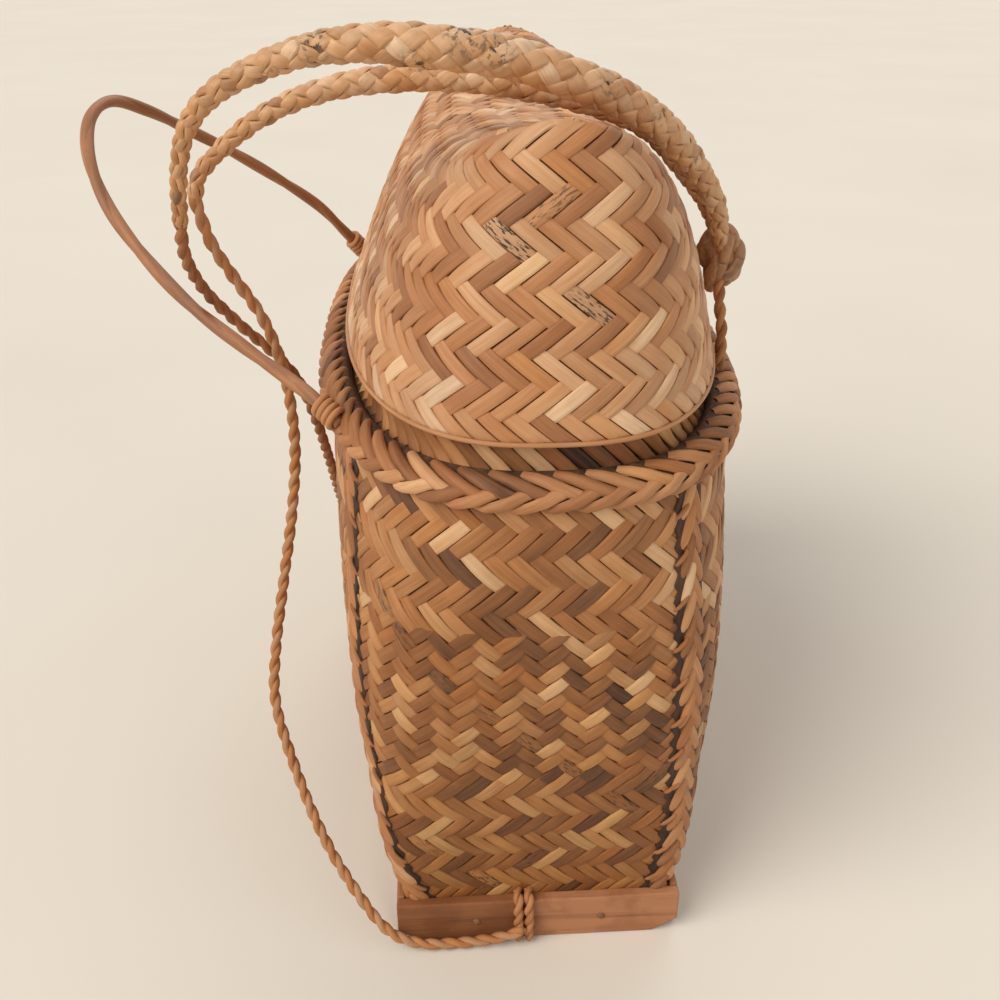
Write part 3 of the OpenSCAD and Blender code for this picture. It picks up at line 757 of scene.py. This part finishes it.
# Woven body: an under-layer, then strips in zones of longer and shorter floats
def body_shell():
    """The under-layer of the body and the neck, just inside the strips, dark with painted shade."""
    inside = 1 - 0.6 / 70
    outer = np.concatenate([[0, 1.5], np.linspace(6, 194, 40), [198, 201, 205, 209, 213, HEM_Z]])
    rings = []
    for z in outer:
        ring = level_ring(*body_sizes(z), z)
        ring[:, :2] *= inside
        rings.append(ring)
    rings += [lid_even_ring(s, 3.4, RING) for s in (0.02, 0.05, 0.1)]
    rings += [lid_even_ring(s, 5.2, RING) for s in (0.1, 0.05, 0.0)]
    for z in (209, 198, 176, 148, 120, 90, 60, 40, 22, 4):
        a, b, n = body_sizes(z)
        rings.append(level_ring(a - BODY_WALL, b - BODY_WALL, min(INSIDE_SQUARE, n), z))
    obj = mesh_piece("body_under_weave", *closed_rings(rings), under, "cane_weave")
    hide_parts("woven_body")
    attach(obj, "basket")


def body_weave(name, skin, cells, row, low, high, height=0.62, section=ROUND, steps=9, columns=False,
               phase=2.7, accents=()):
    """Strips on the body or its neck, from low to high on a skin."""
    floats = float_lattice(cells, HALF_FLOAT, row / 3, (0, FLOATS), (low, high), columns, phase)
    obj = weave(name, skin, floats, HALF_FLOAT, row / 3, cells, FLOATS, body_tones, body_cane, height,
                section, steps, "cane_weave", accents=accents)
    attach(obj, "basket")


body_shell()
skin = body_skin(0.0, 481)
SWITCH_HIGH, SWITCH_LOW = 150.0, 87.6
body_tones = strip_tones(2 * FLOATS, 0.012, 0.012, 0.58, 0.18)
MIDDLE_DARK = [((21, -138, 117), 0.26, 0.0)]
LOWER_DARK = [((18, -135, 85), 0.18, 0.0), ((17, -131, 59), 0.2, 0.0)]
NECK_DARK = [((6, -138, 212), 0.02, 0.0), ((14, -137, 212), 0.28, 0.0)]
body_weave("body_upper_strips", skin, 3, ROW, SWITCH_HIGH, SHOULDER_Z)
body_weave("body_middle_strips", skin, 2, ROW, SWITCH_LOW - 1, SWITCH_HIGH + 1, columns=True,
           accents=MIDDLE_DARK)
body_weave("body_lower_strips", skin, 3, ROW, 8, SWITCH_LOW, accents=LOWER_DARK)
body_weave("body_neck_strips", skin, 3, NECK_ROW, BRAID_TOP, HEM_Z, phase=14.1, accents=NECK_DARK)

neck_rings = [lid_even_ring(s, 3.2, 480) for s in np.linspace(0, 0.1, 13)]
grid = np.stack([np.concatenate([r, r[:1]]) for r in neck_rings], 1)
upper_neck = Skin(np.linspace(0, FLOATS, 481), np.linspace(0, 26, 13), grid, True)
body_weave("upper_neck_strips", upper_neck, 3, NECK_ROW, 0, 22, 0.2, ROUND, 7, phase=3.5)
rim = lid_even_ring(0.1, 4.2, 320)
obj = many_tubes("neck_rim", [np.concatenate([rim, rim[:2]])], 1.15, 8, [0.5], body_cane, "cane_weave")
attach(obj, "basket")
FLAT = [(-0.48, 0.0), (0.0, 0.25), (0.48, 0.0)]
body_weave("body_inner_strips", body_skin(2.7, 241), 3, ROW, 6, 194, 0.15, FLAT, 3)


# Woven lid: each half has its own lattice, measured along the surface from the middle of its end
LID_HANG, LID_REACH, LID_HEIGHT, LID_STRIPS = 8.0, 196, 152, 64


def lid_skin(side, inset):
    """Half of the lid's surface, the places along its hem, and how far up the strips may go there.

    u counts floats from the middle of the end, and v is the way up from the hem and over the ridge.
    """
    shares = np.concatenate([np.linspace(0, 0.9, 61), np.linspace(0.915, 1.0, 9)])
    s = np.linspace(-LID_REACH, LID_REACH, 197)
    turns = np.linspace(-math.pi / 2, math.pi / 2, 1441)
    columns = np.zeros((len(s), len(shares), 3))
    room = np.zeros((len(s), len(shares)), bool)
    for m, share in enumerate(shares):
        lift = lid_lift(share)
        p = lid_ring(share, inset, turns)
        flat = p[:, :2] - (RIDGE_SHIFT * lift, 0)
        run = lengths(flat)
        half = np.interp(0.0, flat[:, 1], run)
        at = np.minimum(np.abs(s), run[-1])
        x, y, z = (np.interp(at, run, v) for v in (flat[:, 0], flat[:, 1], p[:, 2]))
        columns[:, m] = np.stack([x * np.sign(s) + RIDGE_SHIFT * lift, y, z], 1)
        room[:, m] = np.abs(s) <= half + 9
    beyond = slice(1, 24)
    over = columns[:, ::-1][:, beyond].copy()
    over[..., 0] = 2 * RIDGE_SHIFT * lid_lift(shares[::-1][beyond]) - over[..., 0]
    below = columns[:, :1] - (0, 0, LID_HANG)
    path = np.concatenate([below, columns, over], 1)
    t = np.arange(-LID_HANG, LID_HEIGHT, 1.5)
    grid = np.zeros((len(s), len(t), 3))
    top = np.zeros(len(s))
    for k in range(len(s)):
        run = lengths(path[k]) - LID_HANG
        grid[k] = read_line(t, run, path[k])
        stop = len(shares) - 1 if room[k].all() else int(np.argmin(room[k]))
        top[k] = run[stop + 1]
    grid[..., 1] *= -side
    return Skin(s / PITCH, t, grid, False, (side > 0) != (inset > 0)), s / PITCH, top


def lid_shell():
    """The under-layer of the lid, just inside the strips, dark with painted shade."""
    rings = [lid_even_ring(s, LID_WALL, RING) for s in (0.9, 0.62, 0.45, 0.25, 0.1, 0.0)]
    outer = np.concatenate([np.linspace(0.0, 0.9, 34), [0.94, 0.97, 0.985, 0.995]])
    rings += [lid_even_ring(s, 0.7, RING) for s in outer]
    obj = mesh_piece("lid_under_weave", *closed_rings(rings, True), under, "cane_weave")
    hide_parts("woven_lid")
    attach(obj, "lid")


def lid_trim(end, overlap, sink):
    """Turns what hangs below the hem inwards, and lets the strips of one half dip under the other's."""
    def trim(points):
        hang = np.clip(HEM_Z - points[..., 2], 0, 2.0)
        a, b = LID[0] / 2, LID[1] / 2
        x, y = points[..., 0], points[..., 1]
        bend = ROUNDED - 1
        out = unit(np.stack([np.sign(x) * np.abs(x / a) ** bend / a,
                             np.sign(y) * np.abs(y / b) ** bend / b], -1))
        folded = points.copy()
        folded[..., :2] -= out * hang[..., None]
        folded[..., 1] = end * np.maximum(end * folded[..., 1], -overlap)
        folded[..., 2] = np.maximum(points[..., 2], HEM_Z - 0.12 * hang)
        past = np.clip(-end * folded[..., 1], 0, overlap)
        out = unit(folded[..., ::2] - (RIDGE_SHIFT / 2, HEM_Z + 10))
        folded[..., ::2] -= out * (sink * past)[..., None]
        return folded
    return trim


def lid_weave(name, side, inset, low, spare, tones, material, height, section, steps, **looks):
    """The strips of one half of the lid, from low above the hem to spare beyond the ridge."""
    half, places, top = lid_skin(side, inset)
    hem = (places[0] + 1, places[-1] - 1)
    floats = float_lattice(3, HALF_FLOAT, LID_ROW / 3, hem, (low, LID_HEIGHT - 2), False, -2.2)
    floats = floats[floats[:, 1] < np.interp(floats[:, 0], places, top) + spare]
    obj = weave(name, half, floats, HALF_FLOAT, LID_ROW / 3, 3, LID_STRIPS, tones, material, height, section,
                steps, "cane_weave", **looks)
    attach(obj, "lid")


THIN = [(-0.48, 0.0), (0.0, 0.08), (0.48, 0.0)]
SPECKED = [((-14, -128, 269), 0.7, 1.0), ((12, -133, 257), 0.72, 0.9), ((-3, -128, 279), 0.6, 0.7)]
edge = lid_even_ring(0.0, -0.4, 320)
edge[:, 2] = HEM_Z + 0.5
obj = many_tubes("lid_hem_edge", [np.concatenate([edge, edge[:2]])], 0.75, 8, [0.6], lid_cane, "cane_weave")
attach(obj, "lid")
lid_shell()
for side, name in ((-1, "near"), (1, "far")):
    lid_tones = strip_tones(2 * LID_STRIPS, 0.004, 0.01, 0.57, 0.15, 0.34)
    lid_weave("lid_%s_strips" % name, side, 0.0, 0.5, 6.5, lid_tones, lid_cane, 0.62, ROUND, 9,
              shape=lid_trim(side, 3.0, 0.45), accents=SPECKED if side < 0 else (), hem_fade=0.15)
    lid_weave("lid_%s_inner_strips" % name, side, LID_WALL, 5, -12, body_tones, body_cane, 0.04, THIN, 5,
              shape=lid_trim(side, 0.7, 0.0))


# Braids: leaves that come in from both edges and cross in the middle
BOLD = [(-0.5, -1.1), (-0.47, -0.35), (-0.3, 0.25), (-0.1, 0.5),
        (0.1, 0.5), (0.3, 0.25), (0.47, -0.35), (0.5, -1.1)]


def leaves(name, skin, count, start, level, tall, wide, reach):
    """Leaves on a skin, in turn from each edge, with a mean tone, a height and a width."""
    t = np.linspace(0, 1, 11)
    belly = 0.72 + 0.28 * np.sin(math.pi * (0.1 + 0.8 * t))
    arch = np.sin(math.pi * np.clip(0.1 + 0.93 * t, 0, 1.03)) - 0.3
    uv, width, tone = [], [], []
    for k in range(count):
        for sign, shift in ((1, 0.0), (-1, 0.5)):
            uv.append(np.stack([start + k + shift + reach * t, sign * (1.02 - 1.2 * t ** 0.9)], 1))
            width.append(wide * rng.uniform(0.95, 1.05) * belly)
            tone.append(np.clip(level + rng.normal(0, 0.13), 0.2, 0.95))
    lift = np.tile(tall * arch - 0.9 * np.clip(1 - t / 0.2, 0, 1), (len(uv), 1))
    obj = strips(name, skin, np.array(uv), np.array(width), lift, BOLD, np.array(tone),
                 np.zeros(len(uv)), braid_cane, "cane_braid")
    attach(obj, "basket")


PLAITS = 76


def braid_outline(out):
    """The shoulder's outline, moved out."""
    return SHOULDER[0] / 2 + out, SHOULDER[1] / 2 + out, ROUNDED


def braid_skin():
    """The braid's outer surface. u counts plaits round it, and v goes up from edge to edge."""
    profile = np.array([(0.0, 0.7), (1.4, 2.7), (4.2, 4.0), (7.0, 3.1), (9.3, 0.4), (10.9, -3.4)])
    v = np.linspace(-1, 1, 25)
    steps = lengths(profile)
    z, out = (np.interp((v + 1) / 2 * steps[-1], steps, profile[:, k]) for k in range(2))
    count = 561
    grid = np.zeros((count, len(v), 3))
    for j in range(len(v)):
        grid[:, j, :2] = even_ring(*braid_outline(out[j]), count)
        grid[:, j, 2] = SHOULDER_Z + z[j]
    return Skin(np.linspace(0, PLAITS, count), v, grid, True)


def braid_core():
    """The ring inside the braid, dark with painted shade."""
    profile = ((-1.0, 0.2), (1.3, 1.6), (2.5, 4.2), (1.5, 7.0), (-1.2, 9.2), (-4.8, 10.4), (-7.0, 8.0),
               (-4.0, 2.0))
    rings = [level_ring(*braid_outline(out), SHOULDER_Z + z) for out, z in profile]
    faces = grid_faces(len(rings), RING, True).tolist()
    last = (len(rings) - 1) * RING
    faces += [[last + k, last + (k + 1) % RING, (k + 1) % RING, k] for k in range(RING)]
    obj = mesh_piece("shoulder_plait_core", np.concatenate(rings), faces, under, "cane_braid")
    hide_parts("shoulder_braid")
    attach(obj, "basket")


leaves("shoulder_plait", braid_skin(), PLAITS, 0.0, 0.45, 1.1, 4.1, 1.9)
braid_core()


def wall(z, side, end, w):
    """Points on the body's wall and the directions out of it, at places w beside a corner band's middle.

    w is in millimetres, positive towards the narrow end. The band's middle turns from low to high degrees.
    """
    low, high = 47, 56 if side * end < 0 else 38
    points, out = [], []
    for level in z:
        a, b, n = body_sizes(level)
        middle = math.radians(low + (high - low) * rise(level, 1.5))
        p = outline(a, b, n, middle + np.linspace(-0.6, 0.6, 241))
        run = lengths(p)
        q = read_line(run[len(run) // 2] + np.asarray(w), run, p)
        points.append(q)
        out.append(unit(np.stack([(q[:, 0] / a) ** (n - 1) / a, (q[:, 1] / b) ** (n - 1) / b], -1)))
    flip = np.array((side, end))
    return np.array(points) * flip, np.array(out) * flip


def seam(name, side, end):
    """The toothed seam between a corner band and the narrow end's weave, near-black with painted shade in
    the gap.
    """
    z = np.arange(SLAT_TOP - 4, SHOULDER_Z, 0.8)
    tooth = np.abs(np.mod(z / 6.6, 1) - 0.5) * 2
    grid = np.zeros((len(z), 4, 3))
    for k in range(len(z)):
        near, far = 4.6, 6.6 + 2.0 * tooth[k]
        p, out = wall(z[k:k + 1], side, end, (near, near, far, far))
        grid[k, :, :2] = p[0] + out[0] * np.array([(0.0,), (0.95,), (0.95,), (-0.1,)])
        grid[k, :, 2] = z[k]
    faces = grid_faces(len(z), 4)
    if side * end > 0:
        faces = faces[:, ::-1]
    strip = np.stack([np.repeat(z, 4), np.tile(np.arange(4.0), len(z)), np.zeros(4 * len(z))], 1)
    # Painted shade: a near-black tone for the shadow in the gap.
    dark = np.full(4 * len(z), 0.07)
    obj = mesh_piece(name, grid, faces.tolist(), body_cane, "cane_braid", dark, np.zeros(len(dark)), strip)
    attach(obj, "basket")


def corner_band(name, side, end, node):
    """A flat band of leaves up a corner, on a thin core."""
    v = np.linspace(-1, 1, 13)
    z = np.linspace(2.0, SHOULDER_Z + 0.5, 101)
    p, out = wall(z, side, end, side * end * 6.0 * v)
    grid = np.zeros((len(z), len(v), 3))
    grid[..., :2] = p + out * (1.5 - 0.9 * v * v)[None, :, None]
    grid[..., 2] = z[:, None]
    pitch = 10.2
    plaits = (z[-1] - z[0]) / pitch
    skin = Skin(np.linspace(0, plaits, len(z)), v, grid, False, True)
    leaves(name, skin, int(plaits) - 1, 0.5, 0.5, 0.5, 4.4, 1.6)
    edge = np.linspace(-5.4, 5.4, 7) * side * end
    levels = z[::4]
    low, low_out = wall(levels, side, end, edge)
    ring = np.concatenate([low - 0.5 * low_out, (low + 0.9 * low_out)[:, ::-1]], 1)
    rows, around = ring.shape[:2]
    points = np.concatenate([ring, np.repeat(levels[:, None, None], around, 1)], 2)
    faces = grid_faces(rows, around, True).tolist()
    faces += [list(range(around))[::-1], list(range(around * (rows - 1), around * rows))]
    # The core under the leaves is dark with painted shade.
    core = mesh_piece(name + "_core", points, faces, under, "cane_braid")
    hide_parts(node)
    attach(core, "basket")


CORNERS = ((-1, -1, "near_left"), (-1, 1, "far_left"), (1, -1, "near_right"), (1, 1, "far_right"))
for side, end, corner in CORNERS:
    corner_band(corner + "_corner_plait", side, end, corner + "_band")
    seam(corner + "_seam", side, end)


def stitches():
    """Short slanted stitches from each corner band to the narrow end's weave."""
    lines, tones = [], []
    w = np.linspace(-1, 1, 11)
    for side, end, _ in CORNERS:
        for z in np.linspace(SLAT_TOP + 8, SHOULDER_Z - 8, 11):
            p, out = wall([z], side, end, 5.6 + 2.4 * w)
            flat = p[0] + out[0] * (1.4 - 0.5 * w - 0.9 * w ** 4)[:, None]
            lines.append(np.column_stack([flat, z - 2.2 * w]))
            tones.append(rng.uniform(0.3, 0.45))
    obj = many_tubes("corner_lashing", lines, 0.8, 6, tones, cord_cane, "cane_cord")
    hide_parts("corner_stitches")
    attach(obj, "basket")


stitches()


# Base frame
def board(name, profile, depth, place, axis, node, material):
    """A bevelled board: a profile drawn in its face, then given depth."""
    points = np.array([(x, y, z) for y in (0.0, depth) for x, z in profile])
    count = len(profile)
    faces = [list(range(count)), list(range(2 * count - 1, count - 1, -1))]
    faces += [[k, k + count, (k + 1) % count + count, (k + 1) % count] for k in range(count)]
    if axis == 1:
        points = points[:, [1, 0, 2]]
        faces = [f[::-1] for f in faces]
    obj = mesh_piece(name, points + place, faces, material, "pale_wood")
    obj.data.polygons.foreach_set("use_smooth", [False] * len(obj.data.polygons))
    bevel = obj.modifiers.new("edges", "BEVEL")
    bevel.width = 0.0009
    bevel.segments = 3
    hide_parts(node)
    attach(obj, "basket")


half, long, chamfer, chamfer_top = BASE[0] / 2 + SIDE_SLAT, BASE[1] / 2, 10, 6
end_profile = [(half - chamfer, 0), (half, chamfer_top), (half, SLAT_TOP),
               (-half, SLAT_TOP), (-half, chamfer_top), (chamfer - half, 0)]
side_profile = [(long, 0), (long, SLAT_TOP), (-long, SLAT_TOP), (-long, 0)]
for name, y in (("near", -long - END_SLAT), ("far", long)):
    board(name + "_base_board", end_profile, END_SLAT, (0, y, 0), 0, name + "_slat", slat_wood)
for name, x in (("left", -half), ("right", BASE[0] / 2)):
    board(name + "_base_board", side_profile, SIDE_SLAT, (x, 0, 0), 1, name + "_slat", side_wood)


def pegs():
    """Pegs through the slats, with their heads just proud."""
    z = SLAT_TOP / 2
    lines = [[(x, s * y, z) for y in (123, 127, 129.7, 130.1)] for s in (-1, 1) for x in (-24, 24)]
    lines += [[(s * x, y, z) for x in (49, 52, 54.2, 54.6)] for s in (-1, 1) for y in (-80, 0, 80)]
    radius = (1.5, 1.5, 1.5, 1.1)
    obj = many_tubes("turned_pegs", np.array(lines), radius, 16, [0.3] * len(lines), peg_wood, "peg_wood")
    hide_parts("base_pegs")
    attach(obj, "basket")


pegs()


def base_tie(name, end, node):
    """Two turns of twisted cord over an end slat, where a cord is tied."""
    face, place, pitch, wind = -BASE[1] / 2 - END_SLAT, -6, 11, 0.85
    r = CORD_D / 2
    top, front = SLAT_TOP + r * 0.95, face - r * 0.9
    bend = [(front, r), (front, 6.0), (front, 16.0), (face - r * 0.2, SLAT_TOP + r * 0.7),
            (face + END_SLAT / 2, top), (face + END_SLAT + 1, top)]
    lines = []
    for x in (place - r * 0.9, place + r * 0.9):
        c, run = even(curve([(x, y, z) for y, z in bend], 8), 0.8)
        side, up = frames(c)
        for k in range(2):
            line = c + wind * circle(TURN * (run / pitch + k / 2), side, up)
            line[:, 1] *= -end
            lines.append(line)
    obj = many_tubes(name, lines, 1.15, 8, (0.5, 0.4, 0.55, 0.42), cord_cane, "cane_cord")
    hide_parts(node)
    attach(obj, "basket")


base_tie("near_tie", -1, "near_base_tie")
base_tie("far_tie", 1, "far_base_tie")


# Floor and light
def floor_material():
    material, tree, shader = tree_of("pale_floor")
    place = position(tree)
    soft = noise(tree, place, 3.0, 2.0)
    colour = ramp(tree, soft, [(0.3, (0.77, 0.72, 0.64)), (0.7, (0.80, 0.75, 0.67))])
    tree.links.new(colour, shader.inputs["Base Color"])
    shader.inputs["Roughness"].default_value = 0.9
    shader.inputs["Specular IOR Level"].default_value = 0.1
    return material


mesh = bpy.data.meshes.new("floor")
mesh.from_pydata([(-12, -12, 0), (12, -12, 0), (12, 12, 0), (-12, 12, 0)], [], [(0, 1, 2, 3)])
mesh.materials.append(floor_material())
floor = bpy.data.objects.new("floor", mesh)
scene.collection.objects.link(floor)


def soft_sun(name, place, strength, spread, colour):
    """A wide lamp, far away in one direction."""
    lamp = bpy.data.lights.new(name, "SUN")
    lamp.energy = strength
    lamp.angle = math.radians(spread)
    lamp.color = colour
    obj = bpy.data.objects.new(name, lamp)
    d = -unit(np.array(place, float))
    obj.rotation_euler = (math.acos(-d[2]), 0, math.atan2(d[1], d[0]) - math.pi / 2)
    scene.collection.objects.link(obj)


soft_sun("key", (-1.15, -0.75, 1.25), 2.15, 42, (1.0, 0.95, 0.88))
soft_sun("fill", (1.2, -0.8, 0.7), 0.3, 50, (1.0, 0.97, 0.94))
soft_sun("back", (0.3, 1.2, 1.3), 0.6, 40, (1.0, 0.97, 0.93))
world = bpy.data.worlds.new("studio")
world.use_nodes = True
sky = world.node_tree
light = sky.nodes["Background"]
light.inputs["Color"].default_value = (1.0, 0.97, 0.93, 1)
light.inputs["Strength"].default_value = 0.42
backdrop = add(sky, "ShaderNodeBackground", {"Color": (0.82, 0.75, 0.64, 1), "Strength": 1.0})
rays = add(sky, "ShaderNodeLightPath")
seen = math_node(sky, "ADD", rays.outputs["Is Camera Ray"], rays.outputs["Is Glossy Ray"], True)
seen = math_node(sky, "ADD", seen, rays.outputs["Is Transmission Ray"], True)
both = add(sky, "ShaderNodeMixShader")
sky.links.new(seen, both.inputs[0])
sky.links.new(light.outputs[0], both.inputs[1])
sky.links.new(backdrop.outputs[0], both.inputs[2])
sky.links.new(both.outputs[0], sky.nodes["World Output"].inputs["Surface"])
scene.world = world
